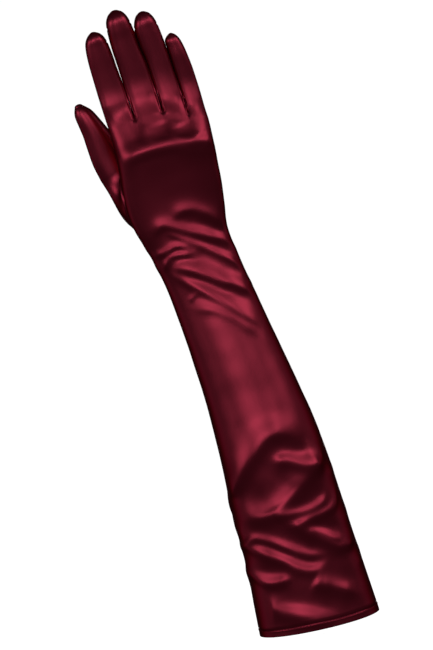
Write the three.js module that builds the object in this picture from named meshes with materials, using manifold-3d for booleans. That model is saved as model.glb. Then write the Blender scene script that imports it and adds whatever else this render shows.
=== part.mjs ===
// A long satin evening glove for the right hand, filled as a hand and arm fill it.
// Millimetres, +Z up. The origin is the middle of the arm's opening and the fingers point up.
// -X is the thumb's side, +X the little finger's, -Y the back of the hand and +Y the palm.
// The cloth is one surface that is split at its seams: the hand and sleeve, the strips between
// the fingers, the set-in thumb and the turned hem. Each piece is then given its thickness.
import * as THREE from "three";
import { mergeVertices } from "three/addons/utils/BufferGeometryUtils.js";
import Module from "manifold-3d";

const CLOTH = 1.2; // thickness of the satin with its seam allowances
const HEM_CLOTH = 2.2; // the hem is turned, so it is two layers
const SEAM_GAP = 0.5; // between the pieces at a seam
const THUMB_GAP = 0.75; // at the thumb's seam, which is curved more tightly than the mesh
const SEAM_CUT = 0.5; // the cut for a strip goes this far beyond both sides of the cloth
const SHARPEST_MITER = 0.5; // at a corner an edge moves at most twice as far
const HEM_HEIGHT = 6;
const CROTCH_HEIGHT = 438; // where the fingers part
const CUFF_SLANT = -0.1; // the rim drops this much for each millimetre towards the little finger
const CUFF_SLANT_ENDS = 60; // height where the slant has died out
const WEB_DROP_FROM = 10; // the row where the fingers part drops from this place to the little finger
const WEB_DROP_SLOPE = 0.5;
const WEB_DROP_BLEND = 6; // width over which the drop sets in
const WEB_DROP_STARTS = 380; // height where the rows begin to bend for it

const smooth = (from, to, x) => THREE.MathUtils.smoothstep(x, from, to);
const mix = THREE.MathUtils.lerp;
const rad = THREE.MathUtils.degToRad;

// A table is a list of rows with named columns.
function table(names, rows) {
  const keys = names.split(" ");
  return rows.map((row) => Object.fromEntries(keys.map((key, i) => [key, row[i]])));
}

// All columns of a table at one height, on a smooth curve through its rows.
function at(rows, height) {
  const last = rows.length - 1;
  let i = 0;
  while (i < last - 1 && height > rows[i + 1].height) i++;
  const [a, b] = [rows[i], rows[i + 1]];
  const [before, after] = [rows[Math.max(0, i - 1)], rows[Math.min(last, i + 2)]];
  const span = b.height - a.height;
  const t = THREE.MathUtils.clamp((height - a.height) / span, 0, 1);
  const found = {};
  for (const key of Object.keys(a)) {
    const slopeA = (b[key] - before[key]) / (b.height - before.height);
    const slopeB = (after[key] - a[key]) / (after.height - a.height);
    const h = t * t * (3 - 2 * t);
    found[key] = mix(a[key], b[key], h) + span * t * (1 - t) * (slopeA * (1 - t) - slopeB * t);
  }
  return found;
}

// Sleeve and palm: where each section reaches on its four sides, and how square it is.
const SLEEVE = table("height thumbSide littleSide back palm square", [
  [0, -50, 50, 40, 40, 2.1],
  [30, -46.5, 49.8, 39.5, 39.5, 2.1],
  [60, -43, 49.7, 38.5, 39, 2.1],
  [100, -40, 50, 37.5, 38.5, 2.1],
  [130, -37.3, 50, 37, 37.5, 2.1],
  [165, -34, 48.4, 35, 35.5, 2.1],
  [200, -31.8, 44.6, 31.5, 32, 2.1],
  [240, -31.2, 39.8, 27.5, 28, 2.1],
  [270, -31.6, 36.3, 24, 25, 2.1],
  [300, -33, 32.8, 20.3, 22, 2.2],
  [330, -37.3, 30.8, 17.5, 20, 2.3],
  [350, -42.3, 34.5, 16.8, 19.3, 2.5],
  [366, -43.8, 37.6, 17.4, 18.6, 2.6],
  [384, -42.5, 40, 19, 17, 2.8],
  [402, -39.7, 41.8, 21.2, 15, 3],
  [412, -38.4, 42.4, 21.9, 14.2, 3.1],
  [424, -37.2, 43.1, 19, 13.8, 3.2],
  [438, -36.7, 44, 14.8, 13.4, 3.2],
]);

// Fingers, from the crotch to the tip. The back and palm columns are places along Y.
const FINGER = "height thumbSide littleSide back palm square";
const FINGERS = [
  {
    name: "index",
    tip: [-24.3, -0.3, 517.8],
    rows: table(FINGER, [
      [438, -36.7, -13.9, -14, 12, 3.2],
      [446, -36.7, -13.76, -12, 8.6, 3.2],
      [456, -36.6, -13.75, -9.8, 7.2, 3.2],
      [467, -36.4, -13.8, -8.8, 7.6, 3.2],
      [482, -35.9, -14.1, -9.2, 8.4, 3],
      [495, -35.3, -14.25, -9.7, 8.5, 2.7],
      [505, -34.1, -15, -9.3, 8, 2.4],
      [511, -32.4, -16.4, -7.9, 6.6, 2.2],
      [515, -29.5, -18.9, -5.7, 4.6, 2.1],
      [517, -26.8, -21.7, -3.4, 2.8, 2],
    ]),
  },
  {
    name: "middle",
    tip: [-1.9, -0.3, 529.3],
    rows: table(FINGER, [
      [438, -13.2, 10, -14.3, 12, 3.2],
      [446, -13.34, 10.15, -12.4, 9, 3.2],
      [456, -13.35, 10.15, -10.2, 7.5, 3.2],
      [468, -13.35, 10.15, -8.9, 7.7, 3.2],
      [481, -13.4, 9.95, -9.2, 8.5, 3],
      [495, -13.45, 8.9, -9.8, 8.8, 2.8],
      [505, -13.1, 8.6, -9.9, 8.7, 2.5],
      [514, -12.3, 8, -9, 7.8, 2.3],
      [521, -11, 6.8, -7.1, 6, 2.1],
      [526, -8.1, 4.2, -4.7, 3.9, 2],
      [528.4, -5, 1.2, -2.7, 2.1, 2],
    ]),
  },
  {
    name: "ring",
    tip: [19.2, -0.3, 521.3],
    rows: table(FINGER, [
      [434, 10.7, 29.35, -13.2, 11.8, 3.2],
      [444, 10.56, 29.5, -11, 9, 3.2],
      [456, 10.55, 29.5, -9, 7.5, 3.2],
      [468, 10.55, 29.5, -8.4, 7.8, 3.2],
      [481, 10.35, 29.6, -8.6, 8.6, 3],
      [495, 9.3, 29.3, -9, 8.6, 2.7],
      [506, 9.2, 28.7, -8.4, 7.9, 2.4],
      [513, 10.7, 27.5, -6.9, 6.4, 2.2],
      [518.4, 13.7, 24.8, -4.4, 4, 2],
      [520.5, 16.5, 21.9, -2.6, 2.2, 2],
    ]),
  },
  {
    name: "little",
    tip: [36.1, -0.1, 497.1],
    rows: table(FINGER, [
      [428, 30.05, 43.8, -11, 10.5, 3.2],
      [436, 29.92, 44.1, -9.2, 9, 3.2],
      [447, 29.9, 44.6, -7.4, 7.4, 3.2],
      [456, 29.9, 44.8, -7, 7.6, 3.2],
      [468, 29.95, 44.8, -7.4, 8, 3],
      [478, 30, 44.2, -7.7, 8, 2.7],
      [486, 30.05, 43.3, -7.1, 7.4, 2.4],
      [491.5, 30.3, 41.9, -5.7, 6, 2.2],
      [495, 32.5, 39.7, -3.9, 4, 2],
      [496.5, 34.5, 37.8, -2.2, 2.4, 2],
    ]),
  },
];
const CROTCHES = [-13.55, 10.35, 29.7]; // along X, between neighbouring fingers

// A strip fills each gap between two fingers. Its seams lie this far round from the finger's side.
const STRIP_SEAM = { atBase: 36, atTop: 14 }; // degrees
const STRIP_TOP = 0.84; // of the finger's length
const SIDE_SEAM = 20; // degrees from the thumb's or little finger's side to the first column on the back

// A finger parts from its neighbour at once, and grows round over this part of its length.
const FINGER_GROWTH = { opens: 0.02, round: 0.24 };

// The web between two fingers lies lower than their knuckles and pads.
const WEB = { depth: 1.4, width: 4.5, starts: 410, full: 434 };

// The hole for the thumb is an oval in polar places around a point inside the palm.
const THUMB_HOLE = { x: -8, y: 2, middle: 53, reach: 63, height: 376, halfHeight: 31, radius: 30 };
const HOLE_PLUG = { near: 8, far: 62, steps: 96 }; // from and to this distance from that point
const HALVINGS = { steps: 40, farthest: 90 }; // of the search for the cloth along a ray
// The mound leaves the seam deep at the crotch and stands out elsewhere. The lowest point of the
// hole faces the palm, so the mound turns by the skew on its way to the thumb's outer side.
const MOUND = { dip: 40, run: 0.95, lift: 0.9, skew: 40, crotchFrom: 0.4 };

// Free part of the thumb, seen from the back: its sections run from the side by the index finger
// to the outer side, and tilt from the first to the last.
const THUMB_TIP = [-54.4, 17, 465];
const THUMB = table("height innerX innerY innerZ outerX outerY outerZ halfDepth", [
  [404, -26, 23.5, 408, -55.2, 17, 400, 10],
  [416, -30, 22.5, 418, -57.3, 17, 414, 9.5],
  [428, -34, 21, 429, -57.6, 17, 427.5, 9],
  [440, -38.6, 19.5, 441, -57.6, 17, 439.5, 8.4],
  [450, -42.6, 18.5, 451, -58.4, 17, 449, 7.6],
  [457, -46, 17.8, 458, -58.9, 17, 456.4, 6.4],
  [461, -49.2, 17.3, 461.6, -58, 17, 460.6, 5],
  [463.6, -51.6, 17.1, 463.8, -56.8, 17, 463.3, 3.2],
]);

// Main folds of the cloth, as crests: how high each stands, how far its slopes reach above and
// below it, and the places that it runs through, as seen from the back of the hand (X, height).
const FOLDS = "rise above below path";
const FOLD_END = { rise: 0.25, length: 0.2 }; // at its ends a fold sinks to this part of its rise
const FOLD_STEPS = 8; // between two places of its path
const BACK_FOLDS = table(FOLDS, [
  [1.6, 5, 9, [[-30, 405], [-20, 413.5], [-6, 413.5], [12, 409], [26, 405], [40, 401.5]]],
  [1.8, 4, 5, [[-2, 356], [8, 354.5], [17, 349], [24, 341], [30, 330]]],
  [2.2, 4, 5, [[-31, 347], [-20, 350], [-8, 344.5], [8, 335], [22, 327], [31, 317]]],
  [2, 4, 5, [[-20, 344], [-8, 337], [4, 326], [16, 315], [29, 298]]],
  [1.6, 3.5, 4, [[-36, 328], [-24, 330], [-14, 330], [-2, 322.5]]],
  [2.4, 4.5, 5, [[-25, 320], [-12, 314], [0, 305], [16, 293], [33, 278]]],
  [2.4, 4.5, 6, [[-28, 318], [-20, 307], [-10, 295], [4, 281], [20, 263], [36, 238]]],
  [3, 8, 6, [[-34, 128], [-24, 139.5], [-10, 153], [4, 162], [20, 164.5], [40, 153]]],
  [2.5, 5, 5, [[4, 147], [14, 143], [26, 136], [40, 134]]],
  [3, 6, 5, [[42, 135], [26, 124], [10, 114.5], [-8, 106], [-20, 106.5], [-32, 112]]],
  [2, 4, 5, [[-4, 97], [14, 94], [30, 96], [41, 103], [49, 118]]],
  [2.6, 5, 5, [[-6, 99], [4, 88], [16, 75], [30, 61.5], [38, 58], [48, 62]]],
  [2.2, 4, 5, [[-38, 84], [-28, 84.5], [-12, 74.5], [4, 64.5], [18, 57.5], [29, 54]]],
  [2.4, 5, 5, [[-38, 82], [-26, 71], [-12, 59], [-2, 50.5], [10, 47], [28, 54]]],
  [2.2, 5, 5, [[-41, 61], [-35, 53], [-27, 47.5], [-14, 45]]],
  [2, 6, 6, [[12, 35], [22, 29], [32, 23], [41, 24]]],
  [2, 7, 7, [[-31, 29], [-18, 20], [-4, 13], [10, 6.5], [22, 2]]],
]);
const PALM_FOLDS = table(FOLDS, [
  [1.6, 4, 5, [[-16, 413], [-4, 409], [12, 403], [26, 401], [40, 401]]],
  [1.5, 4, 5, [[-22, 433], [-10, 428.5], [4, 429], [16, 424], [38, 417]]],
  [2.2, 4.5, 5, [[-17, 341], [-4, 328], [6, 316], [14, 305], [25, 291]]],
  [1.8, 4.5, 5, [[12, 335], [20, 329], [33, 315]]],
  [2.2, 6, 5, [[-46, 110], [-36, 127], [-28, 140], [-18, 158]]],
  [2.4, 5, 5, [[-40, 103], [-24, 103], [0, 100], [16, 106], [34, 119]]],
  [2.6, 5, 5, [[-36, 101], [-21, 90], [-8, 78], [8, 74], [24, 76], [40, 89]]],
  [2.2, 6, 6, [[-40, 53], [-28, 50], [-16, 53], [0, 63]]],
  [2.2, 6, 7, [[-20, 37], [-6, 31.5], [8, 38], [30, 55]]],
  [1.6, 6, 7, [[6, 9], [18, 16], [34, 26]]],
]);

// Rows of the mesh are closer together where the cloth is folded.
const ROW_SPACING = table("height spacing", [
  [0, 9.4],
  [130, 9.4],
  [170, 15],
  [255, 15],
  [275, 8.2],
  [355, 8.2],
  [385, 8.5],
  [438, 7],
]);
const COLUMNS = { finger: 3, side: 2 }; // faces across a finger's back or palm, and across a side
// Rows of the mesh along a finger, as parts of its length.
const FINGER_ROWS = [0.02, 0.06, 0.12, 0.21, 0.34, 0.5, 0.66, 0.84, 0.92, 0.965, 0.99];
const THUMB_COLUMNS = 20;
const MOUND_ROWS = [0, 0.12, 0.3, 0.52, 0.76, 1];

// The power of a number's size with the number's own sign, for squarish sections.
const signedPower = (v, power) => Math.sign(v) * Math.abs(v) ** power;

// A point of the smooth sleeve, before its folds. turn is 0 at the thumb's side, 90 degrees at the
// back of the hand, 180 at the little finger's side and 270 at the palm.
function sleevePoint(turn, height) {
  const s = at(SLEEVE, height);
  const power = 2 / s.square;
  const [across, depth] = [Math.cos(turn), Math.sin(turn)];
  const half = (s.littleSide - s.thumbSide) / 2;
  const x = (s.thumbSide + s.littleSide) / 2 - half * signedPower(across, power);
  const y = -(depth > 0 ? s.back : s.palm) * signedPower(depth, power);
  return new THREE.Vector3(x, y, height + rowBend(x, height));
}

// Rows are level, apart from the slanted rim and the row where the fingers part.
function rowBend(x, height) {
  const past = x - WEB_DROP_FROM;
  const drop = (WEB_DROP_SLOPE / 2) * (past + Math.hypot(past, WEB_DROP_BLEND));
  const slant = CUFF_SLANT * x * (1 - smooth(0, CUFF_SLANT_ENDS, height));
  return slant - drop * smooth(WEB_DROP_STARTS, CROTCH_HEIGHT, height);
}

// The turn at which a section passes a place along X, on the back of the hand.
function turnAt(x, height) {
  const s = at(SLEEVE, height);
  const half = (s.littleSide - s.thumbSide) / 2;
  const across = ((s.thumbSide + s.littleSide) / 2 - x) / half;
  const within = THREE.MathUtils.clamp(across, -1, 1);
  return Math.acos(signedPower(within, s.square / 2));
}

// Crests of the folds as lines on the smooth sleeve.
function foldLines(folds, onPalm) {
  return folds.map((fold) => {
    const steps = FOLD_STEPS * (fold.path.length - 1);
    const flat = new THREE.CatmullRomCurve3(fold.path.map(([x, z]) => new THREE.Vector3(x, 0, z)));
    const line = flat.getPoints(steps).map((p) => {
      const turn = turnAt(p.x, p.z);
      return sleevePoint(onPalm ? -turn : turn, p.z);
    });
    return { ...fold, line };
  });
}
const FOLD_LINES = [...foldLines(BACK_FOLDS, false), ...foldLines(PALM_FOLDS, true)];

// How far the folds lift the cloth at a point of the smooth sleeve.
function foldRise(p) {
  let rise = 0;
  for (const fold of FOLD_LINES) {
    let [nearest, place] = [Infinity, 0];
    fold.line.forEach((q, i) => {
      const distance = q.distanceTo(p);
      if (distance < nearest) [nearest, place] = [distance, i];
    });
    const reach = p.z > fold.line[place].z ? fold.above : fold.below;
    const along = place / (fold.line.length - 1);
    const end = smooth(0, FOLD_END.length, Math.min(along, 1 - along));
    rise += fold.rise * mix(FOLD_END.rise, 1, end) * Math.exp(-((nearest / reach) ** 2));
  }
  return rise;
}

// How far the web between the fingers lies below the cloth beside it.
function webDepth(p) {
  const near = CROTCHES.map((x) => Math.exp(-(((p.x - x) / WEB.width) ** 2)));
  return WEB.depth * Math.max(...near) * smooth(WEB.starts, WEB.full, p.z);
}

// The whole cloth apart from the thumb: points, and faces that each belong to one piece.
const points = [];
const faces = [];
const addPoint = (p) => points.push(p) - 1;
const addFace = (piece, ...corners) => faces.push({ piece, corners });

// Turns of the columns round the sleeve: back of the hand, little finger's side, palm, thumb's side.
function columnTurns() {
  const crotches = CROTCHES.map((x) => turnAt(x, CROTCH_HEIGHT));
  const back = [rad(SIDE_SEAM), ...crotches, rad(180 - SIDE_SEAM)];
  const turns = [];
  const fill = (from, to, count) => {
    for (let i = 0; i < count; i++) turns.push(mix(from, to, i / count));
  };
  for (let i = 0; i < 4; i++) fill(back[i], back[i + 1], COLUMNS.finger);
  fill(back[4], 2 * Math.PI - back[4], COLUMNS.side);
  for (let i = 4; i > 0; i--) fill(2 * Math.PI - back[i], 2 * Math.PI - back[i - 1], COLUMNS.finger);
  fill(2 * Math.PI - back[0], 2 * Math.PI + back[0], COLUMNS.side);
  return turns;
}

// Heights of the rows: the hem's own, then rows of the table's spacing up to the crotches.
function rowHeights() {
  const heights = [0, HEM_HEIGHT / 2];
  for (let z = HEM_HEIGHT; z < CROTCH_HEIGHT; z += at(ROW_SPACING, z).spacing) heights.push(z);
  const stretch = (CROTCH_HEIGHT - HEM_HEIGHT) / (heights[heights.length - 1] - HEM_HEIGHT);
  return heights.map((z) => (z <= HEM_HEIGHT ? z : HEM_HEIGHT + (z - HEM_HEIGHT) * stretch));
}

function buildSleeve() {
  const turns = columnTurns();
  const heights = rowHeights();
  const rings = heights.map((height) => turns.map((turn) => addPoint(sleevePoint(turn, height))));
  for (let i = 0; i + 1 < rings.length; i++) {
    const piece = heights[i] < HEM_HEIGHT ? "cuff_hem" : "hand_and_sleeve";
    turns.forEach((_, k) => {
      const next = (k + 1) % turns.length;
      addFace(piece, rings[i][k], rings[i][next], rings[i + 1][next], rings[i + 1][k]);
    });
  }
  return rings[rings.length - 1];
}

// The line of points across the web between two fingers, from its back to its palm end.
function bridge(top, i) {
  const back = top[COLUMNS.finger * (i + 1)];
  const palm = top[COLUMNS.finger * 4 + COLUMNS.side + COLUMNS.finger * (3 - i)];
  const inner = [];
  for (let k = 1; k < COLUMNS.side; k++) {
    inner.push(addPoint(points[back].clone().lerp(points[palm], k / COLUMNS.side)));
  }
  return [back, ...inner, palm];
}

// One finger, from its ring of points at the crotches to its tip.
function buildFinger(i, top, bridges) {
  const finger = FINGERS[i];
  const across = COLUMNS.finger;
  const palmStart = across * 4 + COLUMNS.side;
  const backArc = top.slice(across * i, across * (i + 1) + 1);
  const palmArc = [];
  for (let k = 0; k <= across; k++) palmArc.push(top[(palmStart + across * (3 - i) + k) % top.length]);
  const littleSide = i < 3 ? bridges[i] : top.slice(across * 4, palmStart + 1);
  const thumbSide = i > 0 ? [...bridges[i - 1]].reverse() : [...top.slice(palmStart + across * 4), top[0]];
  const base = [backArc, littleSide, palmArc, thumbSide].flatMap((side) => side.slice(0, -1));
  const owners = [backArc, littleSide, palmArc, thumbSide].flatMap((side, n) => {
    const strip = n === 1 && i < 3 ? i : n === 3 && i > 0 ? i - 1 : null;
    return side.slice(0, -1).map(() => strip);
  });
  const baseHeight = base.reduce((sum, k) => sum + points[k].z, 0) / base.length;
  const [tipX, tipY, tipZ] = finger.tip;

  let below = base;
  for (const share of FINGER_ROWS) {
    const row = at(finger.rows, mix(baseHeight, tipZ, share));
    const power = 2 / row.square;
    const seam = rad(mix(STRIP_SEAM.atBase, STRIP_SEAM.atTop, smooth(0, STRIP_TOP, share)));
    const corners = [seam, Math.PI - seam, Math.PI + seam, 2 * Math.PI - seam, 2 * Math.PI + seam];
    const ring = [];
    [backArc, littleSide, palmArc, thumbSide].forEach((side, n) => {
      const count = side.length - 1;
      for (let k = 0; k < count; k++) {
        const turn = mix(corners[n], corners[n + 1], k / count);
        const from = points[base[ring.length]];
        const x = mix(row.littleSide, row.thumbSide, (1 + signedPower(Math.cos(turn), power)) / 2);
        const y = mix(row.palm, row.back, (1 + signedPower(Math.sin(turn), power)) / 2);
        const z = mix(from.z, tipZ, share);
        const opened = Math.min(1, share / FINGER_GROWTH.opens);
        const rounded = smooth(0, FINGER_GROWTH.round, share);
        ring.push(addPoint(new THREE.Vector3(mix(from.x, x, opened), mix(from.y, y, rounded), z)));
      }
    });
    ring.forEach((_, k) => {
      const next = (k + 1) % ring.length;
      const strip = share <= STRIP_TOP ? owners[k] : null;
      const piece = strip === null ? "hand_and_sleeve" : stripName(strip);
      addFace(piece, below[k], below[next], ring[next], ring[k]);
    });
    below = ring;
  }
  const tip = addPoint(new THREE.Vector3(tipX, tipY, tipZ));
  below.forEach((_, k) => addFace("hand_and_sleeve", below[k], below[(k + 1) % below.length], tip));
}

const stripName = (i) => `finger_strip_${FINGERS[i].name}_${FINGERS[i + 1].name}`;

// Where the edge of the thumb's hole lies, for a turn round the oval, on the smooth sleeve.
function holePoint(turn, grow) {
  const { x, y, middle, reach, height, halfHeight, radius } = THUMB_HOLE;
  const z = height + (halfHeight + grow) * Math.cos(turn);
  const angle = rad(middle) + (rad(reach) + grow / radius) * Math.sin(turn);
  const [dx, dy] = [-Math.cos(angle), Math.sin(angle)];
  const s = at(SLEEVE, z);
  const half = (s.littleSide - s.thumbSide) / 2;
  const centre = (s.thumbSide + s.littleSide) / 2;
  let [near, far] = [0, HALVINGS.farthest]; // halving finds where the ray leaves the section
  for (let i = 0; i < HALVINGS.steps; i++) {
    const r = (near + far) / 2;
    const across = Math.abs((x + dx * r - centre) / half) ** s.square;
    const py = y + dy * r;
    const depth = Math.abs(py / (py < 0 ? s.back : s.palm)) ** s.square;
    if (across + depth > 1) far = r;
    else near = r;
  }
  return { at: new THREE.Vector3(x + dx * near, y + dy * near, z), out: new THREE.Vector3(dx, dy, 0) };
}

// A smooth line from a to b that leaves and arrives in the given directions.
function hermite(a, leaving, b, arriving, t) {
  const p = a.clone().lerp(b, t * t * (3 - 2 * t));
  return p.addScaledVector(leaving, t * (1 - t) ** 2).addScaledVector(arriving, -(1 - t) * t * t);
}

const thumbCentre = (height) => thumbSection(height, 0).lerp(thumbSection(height, Math.PI), 0.5);

// A section of the free thumb: an oval through its inner, palm, outer and back points.
function thumbSection(height, turn) {
  const s = at(THUMB, height);
  const inner = new THREE.Vector3(s.innerX, s.innerY, s.innerZ);
  const outer = new THREE.Vector3(s.outerX, s.outerY, s.outerZ);
  const centre = inner.clone().add(outer).multiplyScalar(0.5);
  const across = inner.clone().sub(outer).multiplyScalar(0.5 * Math.cos(turn));
  return centre.add(across).add(new THREE.Vector3(0, s.halfDepth * Math.sin(turn), 0));
}

const holeTurn = (k) => (2 * Math.PI * k) / THUMB_COLUMNS;
const thumbTurn = (k) => holeTurn(k) - (rad(MOUND.skew) * (1 - Math.cos(holeTurn(k)))) / 2;

// The thumb: a mound that grows out of the oval hole, then the free part up to the tip.
function buildThumb() {
  const first = points.length;
  const rings = [];
  const outward = [];
  const axis = thumbCentre(THUMB[1].height).sub(thumbCentre(THUMB[0].height)).normalize();
  for (const share of MOUND_ROWS) {
    const ring = [];
    for (let k = 0; k < THUMB_COLUMNS; k++) {
      const turn = holeTurn(k);
      const edge = holePoint(turn, -THUMB_GAP);
      const end = thumbSection(THUMB[0].height, thumbTurn(k));
      const inwards = holePoint(turn, -2 * THUMB_GAP).at.sub(edge.at).normalize();
      inwards.addScaledVector(edge.out, (MOUND.lift * (1 - Math.cos(turn))) / 2);
      const crotch = smooth(MOUND.crotchFrom, 1, Math.cos(turn));
      const reach = mix(MOUND.run * end.distanceTo(edge.at), MOUND.dip, crotch);
      inwards.setLength(reach);
      if (share === 0) outward.push(edge.out);
      ring.push(addPoint(hermite(edge.at, inwards, end, axis.clone().setLength(reach), share)));
    }
    rings.push(ring);
  }
  for (const { height } of THUMB.slice(1)) {
    const ring = [];
    for (let k = 0; k < THUMB_COLUMNS; k++) ring.push(addPoint(thumbSection(height, thumbTurn(k))));
    rings.push(ring);
  }
  for (let i = 0; i + 1 < rings.length; i++) {
    rings[i].forEach((_, k) => {
      const next = (k + 1) % THUMB_COLUMNS;
      addFace("thumb", rings[i][next], rings[i][k], rings[i + 1][k], rings[i + 1][next]);
    });
  }
  const tip = addPoint(new THREE.Vector3(...THUMB_TIP));
  const last = rings[rings.length - 1];
  last.forEach((_, k) => addFace("thumb", last[(k + 1) % THUMB_COLUMNS], last[k], tip));
  return { first, base: rings[0], outward };
}

// Outward directions at all points, from the faces that meet there.
function pointNormals() {
  const normals = points.map(() => new THREE.Vector3());
  for (const { corners } of faces) {
    const [a, b, c] = [corners[0], corners[1], corners[corners.length - 1]].map((k) => points[k]);
    const opposite = points[corners[Math.min(2, corners.length - 1)]];
    const first = corners.length === 4 ? opposite.clone().sub(a) : b.clone().sub(a);
    const second = corners.length === 4 ? c.clone().sub(b) : c.clone().sub(a);
    const n = first.cross(second);
    for (const k of corners) normals[k].add(n);
  }
  return normals.map((n) => n.normalize());
}

// Some pieces of the cloth as one solid. Its sides lie outside and inside the surface by the given
// amounts, and its free edges are pushed out along the surface, or drawn back where edge is negative.
function thicken(pieces, normals, { outside = 0, inside, edge = 0 }) {
  const own = faces.filter((face) => pieces.includes(face.piece)).map((face) => face.corners);
  const edges = new Map();
  for (const corners of own) {
    corners.forEach((a, i) => {
      const b = corners[(i + 1) % corners.length];
      if (edges.has(`${b} ${a}`)) edges.delete(`${b} ${a}`);
      else edges.set(`${a} ${b}`, [a, b]);
    });
  }
  const moved = new Map();
  for (const k of new Set(own.flat())) moved.set(k, points[k].clone());
  const pushes = new Map();
  for (const [a, b] of edges.values()) {
    const along = points[b].clone().sub(points[a]);
    const facing = normals[a].clone().add(normals[b]);
    const outwards = along.cross(facing).normalize();
    for (const k of [a, b]) pushes.set(k, [...(pushes.get(k) ?? []), outwards]);
  }
  for (const [k, list] of pushes) {
    const push = list.reduce((sum, v) => sum.add(v), new THREE.Vector3()).normalize();
    moved.get(k).addScaledVector(push, edge / Math.max(SHARPEST_MITER, push.dot(list[0])));
  }
  const order = [...moved.keys()];
  const place = new Map(order.map((k, i) => [k, i]));
  const count = order.length;
  const position = new Float32Array(count * 6);
  order.forEach((k, i) => {
    moved.get(k).clone().addScaledVector(normals[k], outside).toArray(position, i * 3);
    moved.get(k).clone().addScaledVector(normals[k], -inside).toArray(position, (i + count) * 3);
  });
  const index = [];
  const tri = (a, b, c) => index.push(a, b, c);
  for (const corners of own) {
    const c = corners.map((k) => place.get(k));
    for (let i = 1; i + 1 < c.length; i++) {
      tri(c[0], c[i], c[i + 1]);
      tri(c[0] + count, c[i + 1] + count, c[i] + count);
    }
  }
  for (const [a, b] of edges.values()) {
    const [i, j] = [place.get(a), place.get(b)];
    tri(i, i + count, j + count);
    tri(i, j + count, j);
  }
  const geometry = new THREE.BufferGeometry();
  geometry.setAttribute("position", new THREE.BufferAttribute(position, 3));
  geometry.setIndex(index);
  return geometry;
}

// A plug that runs outwards through the thumb's hole, to cut it from the palm.
function holePlug() {
  const { x, y, middle, height } = THUMB_HOLE;
  const { near, far, steps } = HOLE_PLUG;
  const towards = (out, r, z) => new THREE.Vector3(x + out.x * r, y + out.y * r, z);
  const centre = new THREE.Vector3(-Math.cos(rad(middle)), Math.sin(rad(middle)), 0);
  const ring = Array.from({ length: steps }, (_, k) => holePoint((2 * Math.PI * k) / steps, 0));
  const position = [near, far].flatMap((r) => [
    towards(centre, r, height),
    ...ring.map((edge) => towards(edge.out, r, edge.at.z)),
  ]);
  const index = [];
  const outer = steps + 1;
  for (let k = 0; k < steps; k++) {
    const [a, b] = [1 + k, 1 + ((k + 1) % steps)];
    index.push(0, b, a, outer, outer + a, outer + b, a, outer + b, outer + a, a, b, outer + b);
  }
  const geometry = new THREE.BufferGeometry().setFromPoints(position);
  geometry.setIndex(index);
  return geometry;
}

const wasm = await Module();
wasm.setup();

function solidOf(geometry) {
  const bare = new THREE.BufferGeometry();
  bare.setAttribute("position", geometry.getAttribute("position"));
  bare.setIndex(geometry.getIndex());
  const merged = mergeVertices(bare, 1e-4);
  const vertProperties = new Float32Array(merged.getAttribute("position").array);
  const triVerts = new Uint32Array(merged.getIndex().array);
  return new wasm.Manifold(new wasm.Mesh({ numProp: 3, vertProperties, triVerts }));
}

function geometryOf(solid) {
  const mesh = solid.getMesh();
  const geometry = new THREE.BufferGeometry();
  geometry.setAttribute("position", new THREE.BufferAttribute(mesh.vertProperties, 3));
  geometry.setIndex(new THREE.BufferAttribute(mesh.triVerts, 1));
  return geometry;
}

// The cloth: the sleeve with its folds, the fingers that grow from it, then the thumb.
const top = buildSleeve();
const smoothNormals = pointNormals();
points.forEach((p, k) => p.addScaledVector(smoothNormals[k], foldRise(p) - webDepth(p)));
const bridges = [0, 1, 2].map((i) => bridge(top, i));
FINGERS.forEach((_, i) => buildFinger(i, top, bridges));
const thumb = buildThumb();
const normals = pointNormals();
thumb.base.forEach((k, i) => normals[k].copy(thumb.outward[i]));

const SATIN = new THREE.MeshStandardMaterial({ color: 0x6e1526, roughness: 0.38, metalness: 0 });
const HEM_SATIN = SATIN.clone();
HEM_SATIN.color.set(0x651322);

const glove = new THREE.Group();
function addPiece(name, geometry, material) {
  const mesh = new THREE.Mesh(geometry, material);
  mesh.name = name;
  glove.add(mesh);
}
const drawnBack = { inside: CLOTH, edge: -SEAM_GAP / 2 };
const seamCut = { outside: SEAM_CUT, inside: CLOTH + SEAM_CUT, edge: SEAM_GAP };
const strips = [0, 1, 2].map(stripName);
let hand = solidOf(thicken(["hand_and_sleeve", ...strips], normals, drawnBack));
hand = hand.subtract(solidOf(holePlug()));
for (const strip of strips) hand = hand.subtract(solidOf(thicken([strip], normals, seamCut)));
hand = hand.decompose().sort((a, b) => b.volume() - a.volume())[0]; // without the crumbs of the cuts
addPiece("hand_and_sleeve", geometryOf(hand), SATIN);
for (const strip of strips) addPiece(strip, thicken([strip], normals, drawnBack), SATIN.clone());
addPiece("thumb", thicken(["thumb"], normals, { inside: CLOTH }), SATIN.clone());
addPiece("cuff_hem", thicken(["cuff_hem"], normals, { inside: HEM_CLOTH, edge: -SEAM_GAP / 2 }), HEM_SATIN);

export default glove;
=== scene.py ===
"""A long satin evening glove, filled as when worn: fine meshes that stand for the CAD solids.

Tables are in millimetres, as in the CAD: +Z up, -Y the back of the hand, -X the thumb's side.
"""

import bpy  # noqa: E402
import numpy as np  # noqa: E402
from mathutils import Matrix, Vector, noise  # noqa: E402


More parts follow.
